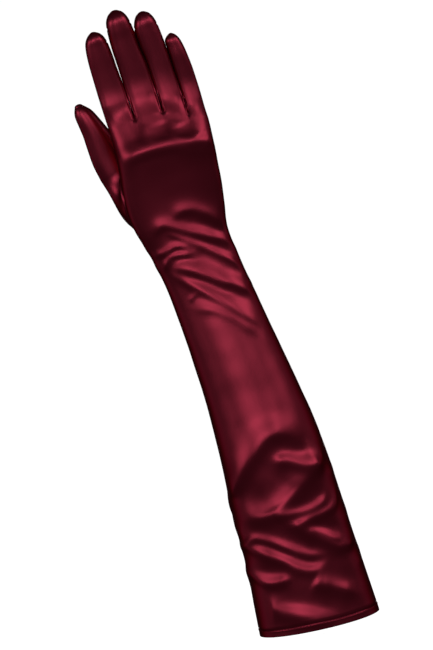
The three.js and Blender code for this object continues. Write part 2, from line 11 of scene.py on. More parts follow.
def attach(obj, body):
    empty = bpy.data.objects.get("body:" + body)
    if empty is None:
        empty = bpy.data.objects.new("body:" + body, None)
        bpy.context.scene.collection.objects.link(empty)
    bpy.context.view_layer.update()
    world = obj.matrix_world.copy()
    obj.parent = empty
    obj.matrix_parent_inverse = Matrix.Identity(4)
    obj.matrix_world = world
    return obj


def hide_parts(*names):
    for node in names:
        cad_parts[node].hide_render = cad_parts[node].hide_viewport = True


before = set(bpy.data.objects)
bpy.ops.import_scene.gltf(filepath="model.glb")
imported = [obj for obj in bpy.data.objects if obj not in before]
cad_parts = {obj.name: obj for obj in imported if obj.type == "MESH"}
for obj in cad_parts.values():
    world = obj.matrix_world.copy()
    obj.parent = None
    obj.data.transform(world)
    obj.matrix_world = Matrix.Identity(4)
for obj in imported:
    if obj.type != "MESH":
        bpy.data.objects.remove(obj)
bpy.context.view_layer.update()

MM = 0.001
TINY = 1e-12
CLOTH = 1.0  # thickness of the cloth
HEM_CLOTH = 1.9  # and of the turned hem
EDGE_OVERLAP = 0.02  # each piece's edge reaches this much past its seam, so that no light shows through
HEM_HEIGHT = 6.0
CROTCH_HEIGHT = 438.0
CUFF_SLANT = -0.1  # change of the rim's height for each millimetre towards the little finger's side
CUFF_DIP = 0.12  # and for each millimetre towards the palm
CUFF_SLANT_ENDS = 60.0  # rows above this height are level
# Towards the little finger the webs between the fingers lie lower, and the rows there follow them.
WEB_DROP = {"from": 10.0, "slope": 0.5, "blend": 6.0, "starts": 380.0}


def table(names, rows):
    """A table as a dictionary of columns."""
    columns = np.array(rows, float).T
    return dict(zip(names.split(), columns))


def smooth(low, high, x):
    """0 up to low and 1 from high on, with a smooth step between."""
    t = np.clip((np.asarray(x, float) - low) / (high - low), 0, 1)
    return t * t * (3 - 2 * t)


def mix(a, b, t):
    return a + (b - a) * t


def unit(v):
    return v / np.maximum(np.linalg.norm(v, axis=-1, keepdims=True), TINY)


def at(rows, height):
    """All columns of a table at some heights, on smooth curves through its rows."""
    z = rows["height"]
    last = len(z) - 1
    i = np.clip(np.searchsorted(z, height, side="left") - 1, 0, last - 1)
    before, after = np.maximum(i - 1, 0), np.minimum(i + 2, last)
    span = z[i + 1] - z[i]
    t = np.clip((height - z[i]) / span, 0, 1)
    found = {}
    for key, c in rows.items():
        slope_a = (c[i + 1] - c[before]) / (z[i + 1] - z[before])
        slope_b = (c[after] - c[i]) / (z[after] - z[i])
        found[key] = mix(c[i], c[i + 1], t * t * (3 - 2 * t))
        found[key] = found[key] + span * t * (1 - t) * (slope_a * (1 - t) - slope_b * t)
    return found


SLEEVE = table("height thumb little back palm square", [
    [0, -50, 50, 40, 40, 2.1],
    [30, -46.5, 49.8, 39.5, 39.5, 2.1],
    [60, -43, 49.7, 38.5, 39, 2.1],
    [100, -40, 50, 37.5, 38.5, 2.1],
    [130, -37.3, 50, 37, 37.5, 2.1],
    [165, -34, 48.4, 35, 35.5, 2.1],
    [200, -31.8, 44.6, 31.5, 32, 2.1],
    [240, -31.2, 39.8, 27.5, 28, 2.1],
    [270, -31.6, 36.3, 24, 25, 2.1],
    [300, -33, 32.8, 20.3, 22, 2.2],
    [330, -37.3, 30.8, 17.5, 20, 2.3],
    [350, -42.3, 34.5, 16.8, 19.3, 2.5],
    [366, -43.8, 37.6, 17.4, 18.6, 2.6],
    [384, -42.5, 40, 19, 17, 2.8],
    [402, -39.7, 41.8, 21.2, 15, 3],
    [412, -38.4, 42.4, 22.1, 14.2, 3.1],
    [424, -37.2, 43.1, 18.1, 13.8, 3.2],
    [438, -36.7, 44, 14.2, 13.4, 3.2],
])

# Each finger: its tip, then its sections from the webs up.
FINGER = "height thumb little back palm square"
FINGERS = {
    "index": ((-24.3, -3.1, 517.8), table(FINGER, [
        [438, -36.7, -13.56, -13.6, 12, 3.2],
        [446, -36.7, -13.56, -11.6, 8.6, 3.2],
        [456, -36.6, -13.53, -10.3, 7.2, 3.2],
        [467, -36.4, -13.6, -9.5, 7.4, 3.2],
        [482, -35.9, -14.1, -10.1, 7.6, 3],
        [495, -35.3, -14.25, -11, 7, 2.7],
        [505, -34.1, -15, -11.6, 6, 2.4],
        [511, -32.4, -16.4, -11.8, 4.5, 2.2],
        [515, -29.5, -18.9, -10.1, 2.2, 2.1],
        [517, -26.8, -21.7, -7.2, 0.2, 2],
    ])),
    "middle": ((-1.9, -3.4, 529.3), table(FINGER, [
        [438, -13.54, 10.36, -13.9, 12, 3.2],
        [446, -13.54, 10.35, -11.9, 9, 3.2],
        [456, -13.58, 10.38, -10.4, 7.5, 3.2],
        [468, -13.55, 10.38, -9.6, 7.6, 3.2],
        [481, -13.5, 10.16, -10.2, 7.75, 3],
        [495, -13.5, 9.1, -11.1, 7.2, 2.8],
        [505, -13.1, 8.8, -11.7, 6.6, 2.5],
        [514, -12.3, 8.2, -12.4, 5.4, 2.3],
        [521, -11, 6.9, -12.2, 3.3, 2.1],
        [526, -8.1, 4.3, -9.9, 1, 2],
        [528.4, -5, 1.2, -7, -0.8, 2],
    ])),
    "ring": ((19.2, -3.1, 521.3), table(FINGER, [
        [434, 10.34, 29.72, -13, 11.8, 3.2],
        [444, 10.36, 29.72, -10.8, 9, 3.2],
        [456, 10.32, 29.75, -9.3, 7.5, 3.2],
        [468, 10.32, 29.78, -8.9, 7.7, 3.2],
        [481, 10.1, 29.85, -9.5, 7.85, 3],
        [495, 9, 29.4, -10.4, 7.1, 2.7],
        [506, 9, 28.7, -11.1, 5.8, 2.4],
        [513, 10.7, 27.5, -11.2, 3.9, 2.2],
        [518.4, 13.7, 24.8, -9.2, 1.2, 2],
        [520.5, 16.5, 21.9, -6.7, -0.6, 2],
    ])),
    "little": ((36.1, -2.1, 497.1), table(FINGER, [
        [428, 29.7, 43.8, -11, 10.5, 3.2],
        [436, 29.69, 44.1, -9.2, 9, 3.2],
        [447, 29.68, 44.6, -7.8, 7.4, 3.2],
        [456, 29.7, 44.8, -7.3, 7.6, 3.2],
        [468, 29.74, 44.8, -8, 7.5, 3],
        [478, 29.8, 44.2, -8.8, 6.9, 2.7],
        [486, 29.82, 43.3, -9, 5.9, 2.4],
        [491.5, 30, 41.9, -8.9, 4.1, 2.2],
        [495, 32.5, 39.7, -7.4, 1.9, 2],
        [496.5, 34.5, 37.8, -5.4, 0.2, 2],
    ])),
}
NAMES = list(FINGERS)
CREASE = {"depth": 0.5, "width": 1.3}  # on the palm side, at these heights:
CREASES = {"index": (460, 488), "middle": (467, 497), "ring": (461, 490), "little": (447, 471)}
CROTCHES = [-13.55, 10.35, 29.7]
STRIP_SEAM = (36, 14)  # degrees round from the finger's side, at its base and at the strip's top
STRIP_TOP = 0.84  # as a share of the finger's length
SIDE_SEAM = 20  # degrees round from the hand's side to the edge of the finger's side there
GROWTH = {"opens": 0.02, "round": 0.24}  # shares of the length over which a finger takes its own shape
PARTING_POWER = 4  # a higher one keeps the parting closer to the edges of a finger's back and palm
WEB = {"depth": 1.4, "width": 4.5, "starts": 410, "full": 434, "hump": 9}

# The hole of the thumb round a line at x, y: middle and reach in degrees, half of its height as half.
HOLE = {"x": -8, "y": 2, "middle": 53, "reach": 63, "height": 376, "half": 31, "radius": 30, "far": 90}
HALVINGS = 40  # steps in which the edge of that hole is found
PALM_SIDE = -14  # cloth with a lower Y is never in that hole
MOUND = {"dip": 40, "run": 0.95, "lift": 0.9, "skew": 40, "crotch": 0.4, "gap": 0.6}
THUMB_TIP = (-54.4, 17, 465)
THUMB = table("height inX inY inZ outX outY outZ deep", [
    [404, -26, 23.5, 408, -55.2, 17, 400, 10],
    [416, -30, 22.5, 418, -57.3, 17, 414, 9.5],
    [428, -34, 21, 429, -57.6, 17, 427.5, 9],
    [440, -38.6, 19.5, 441, -57.6, 17, 439.5, 8.4],
    [450, -42.6, 18.5, 451, -58.4, 17, 449, 7.6],
    [457, -46, 17.8, 458, -58.9, 17, 456.4, 6.4],
    [461, -49.2, 17.3, 461.6, -58, 17, 460.6, 5],
    [463.6, -51.6, 17.1, 463.8, -56.8, 17, 463.3, 3.2],
])

# Folds: rise, reach of the slope above and below the crest, then places along the middle of the
# slope above it, as seen from the back of the hand (X, height).
BACK_FOLDS = [
    (0.6, 6.5, 5, [
        (-35, 392), (-33, 402), (-29, 410), (-22, 414), (-10, 414.5), (0, 413), (15, 409), (28, 405),
        (41, 402)]),
    (0.3, 6, 6, [(-18, 418), (-12, 426), (-6, 437)]),
    (0.3, 6, 6, [(9, 419), (13, 427), (18, 437)]),
    (0.3, 6, 6, [(20, 409), (27, 417), (33, 428)]),
    (1.3, 6.5, 4, [(-12, 356), (-4, 358), (1, 358.5), (8, 357), (14, 353), (20, 348), (25, 342), (30, 334)]),
    (1.2, 6, 3.5, [
        (-31, 346), (-25, 350), (-20, 352), (-12, 348), (-5, 343), (10, 334), (25, 325), (31, 318)]),
    (0.7, 3.2, 2.5, [(-21, 346), (-14, 340.5), (-2, 331), (10, 320), (22, 309), (27, 303), (32, 293)]),
    (0.8, 3.6, 2.5, [(-36, 330), (-28, 329), (-20, 330), (-14, 331), (-8, 328), (-3, 323.5)]),
    (0.8, 3.6, 2.5, [(-1, 322), (-8, 322.5), (-15, 324), (-21, 324), (-25, 321), (-27, 318), (-26, 314)]),
    (1.3, 8, 3.5, [(-24, 319.5), (-15, 315), (-2, 306), (12, 295), (20, 290), (28, 283), (34, 277)]),
    (1.1, 7, 3.5, [(-27, 316), (-20, 308), (-12, 299), (0, 286), (12, 273), (18, 266), (25, 258), (33, 249)]),
    (0.4, 2.5, 2, [(-18, 284), (-14, 287), (-9, 289)]),
    (0.8, 8, 4, [(-19, 282.5), (-8, 278), (0, 274), (8, 267), (15, 260), (22, 251), (30, 243)]),
    (2.5, 12, 7, [(-36, 124), (-33, 132), (-25, 140), (-18, 147), (-8, 155), (8, 165), (22, 163), (36, 152)]),
    (1.9, 8.5, 6, [(4, 144.5), (15, 140), (25, 134), (35, 130), (43, 132)]),
    (2.2, 10, 7, [
        (47, 150), (45, 141), (38, 129), (30, 124), (20, 118), (10, 113), (0, 108), (-12, 104), (-28, 106),
        (-46, 113)]),
    (1.15, 4.5, 4, [(-8, 97), (-4, 96.5), (8, 94.5), (20, 94), (28, 95), (35, 98), (42, 108)]),
    (1.15, 4.5, 4, [(4, 85), (10, 85), (20, 86.5), (30, 87), (40, 90), (45, 98), (48, 111)]),
    (1.7, 6.5, 5, [(-7, 99), (4, 88), (15, 76), (22, 70), (30, 62), (36, 58), (45, 60), (49, 72)]),
    (0.7, 3.4, 3, [(14, 79), (25, 72), (33, 65), (41, 61.5)]),
    (1.15, 4.6, 3.5, [
        (-44, 80), (-39, 82), (-30, 85), (-22, 82), (-14, 76), (-5, 69), (3, 63), (12, 57.5), (29, 55)]),
    (1.35, 5.4, 5, [
        (-44, 84), (-39, 82), (-30, 75), (-20, 67), (-10, 59), (-3, 52), (5, 47), (12, 46), (27, 53)]),
    (1.6, 6, 4.5, [(-44, 64), (-41, 60), (-33, 50), (-25, 46.5), (-18, 46), (-9, 47)]),
    (1.5, 9.5, 8, [(-36, 31), (-31, 29), (-20, 20), (-10, 14), (0, 9), (14, 1)]),
    (1.8, 8, 6, [(5, 39), (9, 36), (18, 31), (27, 25), (38, 18)]),
]
BACK_HOLLOWS = [
    (-0.6, 7, 6, [(4.5, 436), (5, 428), (4, 419)]),
    (-0.5, 7, 6, [(20, 433), (21, 427), (20, 420)]),
    (-0.4, 6, 6, [(33, 424), (35, 420), (38, 415)]),
    (-0.43, 4, 5, [(-3, 349), (6, 345), (14, 341), (22, 334), (30, 325)]),
    (-0.36, 3, 3.6, [(-15, 344.5), (-5, 338.5), (4, 331.5), (14, 324), (24, 315), (31, 308)]),
    (-0.72, 7, 6, [(-3, 325.5), (6, 317), (14, 309), (24, 299), (32, 289)]),
    (-0.29, 2, 4, [(-25, 326.5), (-14, 327), (-5, 324.5)]),
    (-0.36, 2.5, 4, [(-19, 320.5), (-8, 317.5), (1, 312.5)]),
    (-0.65, 5, 5, [(-21, 312), (-10, 303), (0, 295), (12, 285), (22, 277), (31, 269)]),
    (-0.43, 5, 8, [(-23, 298), (-12, 289), (-2, 281), (8, 273), (18, 262), (27, 251)]),
    (-1.62, 20, 6, [(-28, 112), (-10, 115), (0, 117.5), (10, 122), (22, 129)]),
    (-0.94, 9, 6, [(7, 149.5), (18, 148), (28, 144.5), (38, 141)]),
    (-1.08, 11, 8, [(-38, 91), (-25, 89.5), (-15, 85), (-5, 78), (5, 71), (15, 65), (27, 61)]),
    (-0.72, 9, 6, [(6, 99.5), (20, 99), (30, 102), (39, 111)]),
    (-0.65, 6, 8, [(18, 80), (30, 76.5), (42, 74)]),
    (-0.54, 4, 5, [(-30, 80), (-18, 73), (-8, 64), (2, 56), (12, 52), (24, 52)]),
    (-0.58, 7, 8, [(-40, 64), (-30, 57.5), (-20, 53), (-11, 50)]),
    (-0.81, 11, 6, [(-36, 37), (-20, 31), (-5, 25), (8, 19), (22, 12)]),
    (-0.5, 12, 8, [(16, 39), (28, 35), (40, 31)]),
]
PALM_FOLDS = [
    (1, 4.8, 5, [(-25, 412), (-20, 414), (-10, 411), (0, 405), (10, 402), (24, 401)]),
    (1, 4.8, 3.8, [(-20, 436), (-18, 430), (-10, 427), (0, 427), (8, 428)]),
    (1, 4.8, 3.8, [(1, 437), (5, 430), (10, 425), (18, 421), (32, 417)]),
    (1, 4.8, 3.8, [(26, 432), (33, 426), (40, 421)]),
    (1, 4.8, 5, [(-17, 341), (-8, 333), (0, 323), (8, 314), (18, 302), (29, 290)]),
    (1, 4.8, 5, [(9, 339), (20, 330), (28, 322), (34, 313)]),
    (0.84, 4, 3.8, [(-15, 323), (-4, 312), (6, 300), (16, 288), (27, 273)]),
    (1, 4.8, 5, [(-38, 103), (-28, 104), (-15, 102), (0, 102), (10, 104), (20, 110), (32, 119)]),
    (1, 4.8, 5, [(-37, 101), (-22, 90), (-15, 82), (-8, 78), (5, 74.5), (15, 73.5), (30, 79), (40, 89)]),
    (0.84, 4, 3.8, [(-21, 92), (-5, 95), (8, 100), (20, 107), (33, 119)]),
    (0.74, 3.5, 3.8, [(-16, 85), (0, 82.5), (10, 81.5), (22, 85), (39, 89.5)]),
    (1.4, 6.8, 6.2, [(-38, 56), (-25, 50), (-10, 58), (2, 65)]),
    (1.4, 6.8, 6.2, [(-18, 38.5), (-5, 32), (8, 38), (20, 47), (32, 58)]),
    (0.8, 8.1, 7.5, [(3, 9), (16, 17), (32, 26)]),
    (1.4, 6.8, 5.6, [(-45, 108), (-38, 123), (-28, 140), (-18, 157)]),
]
# Folds that cross a side of the arm: the places are degrees round the sleeve, and heights.
SIDE_FOLDS = [
    (0.9, 8.1, 6.2, [(35, 88), (15, 91), (-5, 97), (-30, 102)]),
    (0.75, 6.8, 6.2, [(20, 58), (0, 55), (-20, 54), (-40, 52)]),
    (0.6, 5.4, 5, [(22, 331), (5, 333), (-15, 337), (-35, 341)]),
    (0.5, 5.4, 5, [(25, 316), (5, 317), (-20, 322)]),
    (1, 4.8, 3.8, [(150, 112), (170, 116), (190, 119), (215, 118)]),
    (1, 4.8, 4.4, [(155, 72), (175, 80), (195, 87), (215, 89)]),
    (1, 4.8, 3.8, [(150, 287), (170, 283), (190, 284), (215, 290)]),
    (0.84, 4, 3.8, [(155, 318), (175, 312), (195, 311), (215, 314)]),
    (1.1, 5.4, 5, [(150, 36), (170, 44), (190, 52), (210, 57)]),
]
FOLD_END = {"rise": 0.1, "length": 0.22}  # share of its rise at its ends, and of its length that they take
FOLD_FADE = {"from": 0.86, "to": 1, "least": 0.3}  # towards the little finger's side
FOLD_DROP = 0.6  # from the listed places down to the crest, as a share of the reach above it
FOLD_POWER = 1.8  # 2 would make a fold's section a bell curve
FOLD_TURN = 0.7  # how gradually the slope above passes into the one below at a fold's ends
FOLD_FAR = 4  # beyond this many reaches a fold lifts nothing
FOLD_STEPS = 6  # straight pieces between two of its places
RIM_STEPS = 6  # corrections of a fold's heights on the slanted rows
RIPPLE = {"rise": 0.16, "length": 24, "stretch": 1.6, "seed": 3.1, "full": 400, "ends": 440}

SEAM = {"depth": 0.45, "width": 0.5, "bead": 0.12, "bead_at": 1.3, "bead_width": 0.6}
HOLE_SEAM = {"steps": 145, "reach": 45}  # points along the thumb's seam, and how high it may act
HEM_SEAM_REACH = 20
STITCH = {"height": 5.0, "length": 2.2, "pitch": 2.8, "radius": 0.24, "rings": 7, "sides": 6,
          "thinnest": 0.05, "lift": 0.5, "sink": 1.3}

# Looks of the satin. The weave's threads are counted for each metre across and along the arm.
# The two rim shade values paint shade: where the cloth turns away from the view, its colour darkens to these
# shares of the dark tone.
SHEEN = {"metallic": 0.92, "tint": (0.2, 0.02, 0.04), "roughness": (0.29, 0.34),
         "painted_rim_shade_blend": 0.35, "painted_rim_shade_shares": (0.4, 0.2, 0.2)}
TONE = {"scale": 22, "detail": 3}
WEAVE = {"threads": (2600, 500), "detail": 2, "strength": 0.12, "height": 0.0001}

# Mesh: faces across a finger's back or palm and across a side, and the rows' spacing.
ARC, SIDE = 15, 10
ARC_CROWDING = 0.55  # towards the seams
PALM_START = ARC * len(NAMES) + SIDE  # the columns' numbers start at the thumb's side of the back
LAST = len(NAMES) - 1  # the little finger, which has no strip beyond it
HEM_ROWS = 8
ROWS = table("height spacing", [
    [0, 1.8], [20, 1.5], [170, 1.5], [190, 3], [235, 3], [250, 1.4], [362, 1.4], [380, 2], [438, 1.5],
])
GATHER = (330, 420)  # between these heights the columns gather at the places of the fingers' seams
FINGER_ROWS = {"first": [0.002, 0.005, 0.009, 0.014, 0.02], "starts": 0.034, "strip": 42, "tip": 17}
THUMB_COLUMNS = 72
THUMB_TURNS = 2 * np.pi * np.arange(THUMB_COLUMNS) / THUMB_COLUMNS
SEAM_ROWS = 8  # rows of the thumb that its seam can press in
MOUND_ROWS = {"first": [0, 0.006, 0.013, 0.022], "starts": 0.034, "rest": 42}
THUMB_ROWS = {"finer_from": 450, "lower": 34, "upper": 12}
THUMB_DOME = [20, 40, 58, 74]  # degrees up its rounded end


def crowd(t, amount):
    """Parameters from 0 to 1, closer together at both ends."""
    return t - amount * np.sin(2 * np.pi * t) / (2 * np.pi)


ARC_AT = crowd(np.linspace(0, 1, ARC + 1), ARC_CROWDING)
SIDE_AT = np.linspace(0, 1, SIDE + 1)


def row_bend(x, y, height):
    """How far a row of the sleeve rises above its height at a place, along the rim and near the webs."""
    past = x - WEB_DROP["from"]
    drop = WEB_DROP["slope"] / 2 * (past + np.hypot(past, WEB_DROP["blend"]))
    slant = (CUFF_SLANT * x + CUFF_DIP * y) * (1 - smooth(0, CUFF_SLANT_ENDS, height))
    return slant - drop * smooth(WEB_DROP["starts"], CROTCH_HEIGHT, height)


def signed_power(v, power):
    return np.sign(v) * np.abs(v) ** power


def sleeve_point(turn, height):
    """Points of the smooth sleeve. turn is 0 at the thumb's side and 90 degrees at the back."""
    s = at(SLEEVE, height)
    power = 2 / s["square"]
    across, depth = np.cos(turn), np.sin(turn)
    half = (s["little"] - s["thumb"]) / 2
    x = (s["thumb"] + s["little"]) / 2 - half * signed_power(across, power)
    y = np.where(depth > 0, -s["back"], s["palm"]) * np.abs(depth) ** power
    return np.stack(np.broadcast_arrays(x, y, height + row_bend(x, y, height)), -1)


def turn_at(x, height):
    """The turn at which the back of the sleeve has a given X."""
    s = at(SLEEVE, height)
    half = (s["little"] - s["thumb"]) / 2
    across = np.clip(((s["thumb"] + s["little"]) / 2 - x) / half, -1, 1)
    return np.arccos(signed_power(across, s["square"] / 2))


def curve(points, steps):
    """A smooth curve through some points, as a chain of short straight pieces."""
    p = np.array(points, float)
    p = np.vstack([2 * p[0] - p[1], p, 2 * p[-1] - p[-2]])
    t = np.linspace(0, 1, steps, endpoint=False)[:, None]
    pieces = [
        0.5 * (2 * b + (c - a) * t + (2 * a - 5 * b + 4 * c - d) * t**2 + (3 * b - a - 3 * c + d) * t**3)
        for a, b, c, d in zip(p, p[1:], p[2:], p[3:])
    ]
    return np.vstack([*pieces, p[-2:-1]])


def near_line(points, line):
    """For each point: its distance to a chain of points, the nearest place, and how far along."""
    a, b = line[:-1], line[1:]
    step = b - a
    length = (step**2).sum(-1)
    t = np.einsum("nmk,mk->nm", points[:, None] - a, step) / np.maximum(length, TINY)
    t = np.clip(t, 0, 1)
    foot = a + t[..., None] * step
    distance = np.linalg.norm(points[:, None] - foot, axis=-1)
    best = distance.argmin(1)
    pick = np.arange(len(points))
    return distance[pick, best], foot[pick, best], (best + t[pick, best]) / len(a)


def fold_lines():
    """The crests of all folds as chains of points on the smooth sleeve."""
    lines = []
    for folds, palm in ((BACK_FOLDS + BACK_HOLLOWS, False), (PALM_FOLDS, True)):
        for rise, above, below, path in folds:
            flat = curve(path, FOLD_STEPS)
            flat[:, 1] -= FOLD_DROP * above
            turn = turn_at(flat[:, 0], flat[:, 1]) * (-1 if palm else 1)
            seen = flat[:, 1].copy()
            # rows near the rim slant, so their heights are changed until the crest lies where it is seen
            for _ in range(RIM_STEPS):
                low = flat[:, 1] < CUFF_SLANT_ENDS
                off = sleeve_point(turn, flat[:, 1])[:, 2] - seen
                flat[low, 1] -= off[low]
            lines.append((rise, above, below, sleeve_point(turn, flat[:, 1])))
    for rise, above, below, path in SIDE_FOLDS:
        flat = curve(path, FOLD_STEPS)
        lines.append((rise, above, below, sleeve_point(np.radians(flat[:, 0]), flat[:, 1])))
    return lines


def fold_rise(points):
    """How far the folds lift the cloth at points of the smooth sleeve."""
    total = np.zeros(len(points))
    for rise, above, below, line in fold_lines():
        reach = FOLD_FAR * max(above, below)
        z = points[:, 2]
        near = np.flatnonzero((z > line[:, 2].min() - reach) & (z < line[:, 2].max() + reach))
        distance, foot, along = near_line(points[near], line)
        upwards = (points[near, 2] - foot[:, 2]) / np.maximum(distance, TINY)
        width = mix(below, above, smooth(-FOLD_TURN, FOLD_TURN, upwards))
        end = smooth(0, FOLD_END["length"], np.minimum(along, 1 - along))
        height = rise * mix(FOLD_END["rise"], 1, end)
        total[near] += height * np.exp(-((distance / width) ** FOLD_POWER))
    edge = points[:, 0] / at(SLEEVE, points[:, 2])["little"]
    return total * mix(1, FOLD_FADE["least"], smooth(FOLD_FADE["from"], FOLD_FADE["to"], edge))


def web_depth(points):
    """How far the cloth sinks below each crotch."""
    near = [np.exp(-(((points[:, 0] - x) / WEB["width"]) ** 2)) for x in CROTCHES]
    return WEB["depth"] * np.maximum.reduce(near) * smooth(WEB["starts"], WEB["full"], points[:, 2])


def ripple(points):
    """Slight unevenness of the cloth, as smooth noise."""
    places = points * np.array([1, 1, RIPPLE["stretch"]]) / RIPPLE["length"]
    offset = Vector((RIPPLE["seed"], 2 * RIPPLE["seed"], 3 * RIPPLE["seed"]))
    wave = np.array([noise.noise(Vector(p) + offset) for p in places])
    return RIPPLE["rise"] * wave * smooth(RIPPLE["ends"], RIPPLE["full"], points[:, 2])


class Cloth:
    """Points and faces of one surface. Each face belongs to one piece."""

    def __init__(self):
        self.points = np.zeros((0, 3))
        self.quads, self.pieces, self.uvs = [], [], []

    def add(self, block):
        """Adds an array of points and gives their numbers in the same arrangement."""
        flat = block.reshape(-1, 3)
        first = len(self.points)
        self.points = np.vstack([self.points, flat])
        return np.arange(first, first + len(flat)).reshape(block.shape[:-1])

    def face(self, piece, corners, uv):
        """corners is faces x 4, with the last corner twice in a triangle."""
        self.quads.append(corners)
        self.uvs.append(uv)
        self.pieces += [piece] * len(corners)

    def close(self):
        """Joins the lists of faces, once all are there."""
        self.quads = np.vstack(self.quads)
        self.uvs = np.concatenate(self.uvs)
        self.pieces = np.array(self.pieces)

    def normals(self):
        quads = np.vstack(self.quads)
        p = self.points
        n = np.cross(p[quads[:, 2]] - p[quads[:, 0]], p[quads[:, 3]] - p[quads[:, 1]])
        total = np.zeros_like(p)
        for corner in range(4):
            np.add.at(total, quads[:, corner], n)
        return unit(total)


def ring_uv(rings):
    """Lengths round each ring and along the rows, in metres, with the seam column twice."""
    loop = np.concatenate([rings, rings[:, :1]], 1)
    u = np.cumsum(np.linalg.norm(np.diff(loop, axis=1), axis=2), axis=1)
    u = np.concatenate([np.zeros((len(rings), 1)), u], 1)
    rise = np.linalg.norm(np.diff(rings.mean(1), axis=0), axis=1)
    v = np.concatenate([[0], np.cumsum(rise)])[:, None] + np.zeros_like(u)
    u = u - u[:, -1:] / 2
    return np.stack([u, v], -1) * MM


def ring_quads(numbers):
    """Faces between neighbouring closed rings of points."""
    nxt = np.roll(numbers, -1, -1)
    low, high = np.s_[..., :-1, :], np.s_[..., 1:, :]
    return np.stack([numbers[low], nxt[low], nxt[high], numbers[high]], -1)


def ring_faces(numbers, uv, flip=False):
    """Those faces, and the places on the cloth of their corners."""
    corners = ring_quads(numbers)
    places = np.stack([uv[:-1, :-1], uv[:-1, 1:], uv[1:, 1:], uv[1:, :-1]], -2)
    if flip:
        corners, places = corners[..., ::-1], places[..., ::-1, :]
    return corners, places


def row_heights():
    """Heights of the sleeve's rows: the hem's first, then up to the crotches."""
    heights = list(np.linspace(0, HEM_HEIGHT, HEM_ROWS + 1))
    while heights[-1] < CROTCH_HEIGHT:
        z = heights[-1]
        heights.append(z + float(np.interp(z, ROWS["height"], ROWS["spacing"])))
    body = np.array(heights[HEM_ROWS:])
    body = HEM_HEIGHT + (body - HEM_HEIGHT) * (CROTCH_HEIGHT - HEM_HEIGHT) / (body[-1] - HEM_HEIGHT)
    return np.concatenate([heights[:HEM_ROWS], body])


def column_turns(heights):
    """Turns of the columns in each row: even on the arm, gathered at the seams near the fingers."""
    crotches = [float(turn_at(np.array(x), np.array(CROTCH_HEIGHT))) for x in CROTCHES]
    back = np.array([np.radians(SIDE_SEAM), *crotches, np.radians(180 - SIDE_SEAM)])
    top = [mix(a, b, ARC_AT[:-1]) for a, b in zip(back, back[1:])]
    top.append(mix(back[-1], 2 * np.pi - back[-1], SIDE_AT[:-1]))
    palm = 2 * np.pi - back[::-1]
    top += [mix(a, b, ARC_AT[:-1]) for a, b in zip(palm, palm[1:])]
    top.append(mix(palm[-1], 2 * np.pi + back[0], SIDE_AT[:-1]))
    top = np.concatenate(top)
    even = np.pi / 2 + (np.arange(len(top)) - 2 * ARC) * 2 * np.pi / len(top)
    share = smooth(*GATHER, heights)[:, None]
    return mix(even[None], top[None], share)


def build_sleeve(cloth):
    rings = sleeve_point(column_turns(row_heights()), row_heights()[:, None])
    numbers = cloth.add(rings)
    corners, uv = ring_faces(numbers, ring_uv(rings))
    for piece, rows in (("cuff_hem", slice(HEM_ROWS)), ("hand_and_sleeve", slice(HEM_ROWS, None))):
        cloth.face(piece, corners[rows].reshape(-1, 4), uv[rows].reshape(-1, 4, 2))
    return numbers


def bridge(cloth, top, i):
    """Points across the web between two fingers, from its back end to its palm end."""
    back, palm = top[ARC * (i + 1)], top[PALM_START + ARC * (LAST - i)]
    t = SIDE_AT[1:-1, None]
    inner = mix(cloth.points[back], cloth.points[palm], t)
    inner[:, 2] += WEB["hump"] * np.sin(np.pi * t[:, 0])
    return np.concatenate([[back], cloth.add(inner), [palm]])


def finger_shares():
    """Where a finger's rings lie, as shares of its length, with the last closest to the tip."""
    body = np.linspace(FINGER_ROWS["starts"], STRIP_TOP, FINGER_ROWS["strip"])
    end = 1 - (1 - STRIP_TOP) * (1 - np.linspace(0, 1, FINGER_ROWS["tip"])[1:-1]) ** 2
    return np.concatenate([FINGER_ROWS["first"], body, end])


def finger_base(i, top, bridges):
    """Points round a finger's base: its back, its little finger's side, its palm and its thumb's side."""
    back_arc = top[ARC * i: ARC * (i + 1) + 1]
    palm_numbers = np.arange(PALM_START + ARC * (LAST - i), PALM_START + ARC * (LAST + 1 - i) + 1)
    little = bridges[i] if i < LAST else top[PALM_START - SIDE: PALM_START + 1]
    thumb = bridges[i - 1][::-1] if i > 0 else np.append(top[2 * PALM_START - SIDE:], top[0])
    sides = (back_arc, little, np.take(top, palm_numbers, mode="wrap"), thumb)
    return np.concatenate([side[:-1] for side in sides])


def finger_rings(i, share, height):
    """X and Y round the finger's own shape, ring by ring."""
    tip, rows = FINGERS[NAMES[i]]
    row = at(rows, height)
    seam = np.radians(mix(*STRIP_SEAM, smooth(0, STRIP_TOP, share)))
    corners = [seam, np.pi - seam, np.pi + seam, 2 * np.pi - seam, 2 * np.pi + seam]
    arcs = [ARC_AT[:-1], SIDE_AT[:-1], ARC_AT[:-1], SIDE_AT[:-1]]
    turn = np.concatenate([mix(a[:, None], b[:, None], t) for a, b, t in zip(corners, corners[1:], arcs)], 1)
    # past the last row the tip closes as a dome
    dome = np.clip((tip[2] - height) / (tip[2] - rows["height"][-1]), 0, 1)
    size = np.sqrt(dome)[:, None]
    centre_x = mix(tip[0], (row["thumb"] + row["little"]) / 2, dome)[:, None]
    centre_y = mix(tip[1], (row["back"] + row["palm"]) / 2, dome)[:, None]
    power = 2 / row["square"][:, None]
    x = centre_x - size * ((row["little"] - row["thumb"]) / 2)[:, None] * signed_power(np.cos(turn), power)
    y = centre_y + size * ((row["back"] - row["palm"]) / 2)[:, None] * signed_power(np.sin(turn), power)
    return x, y, turn


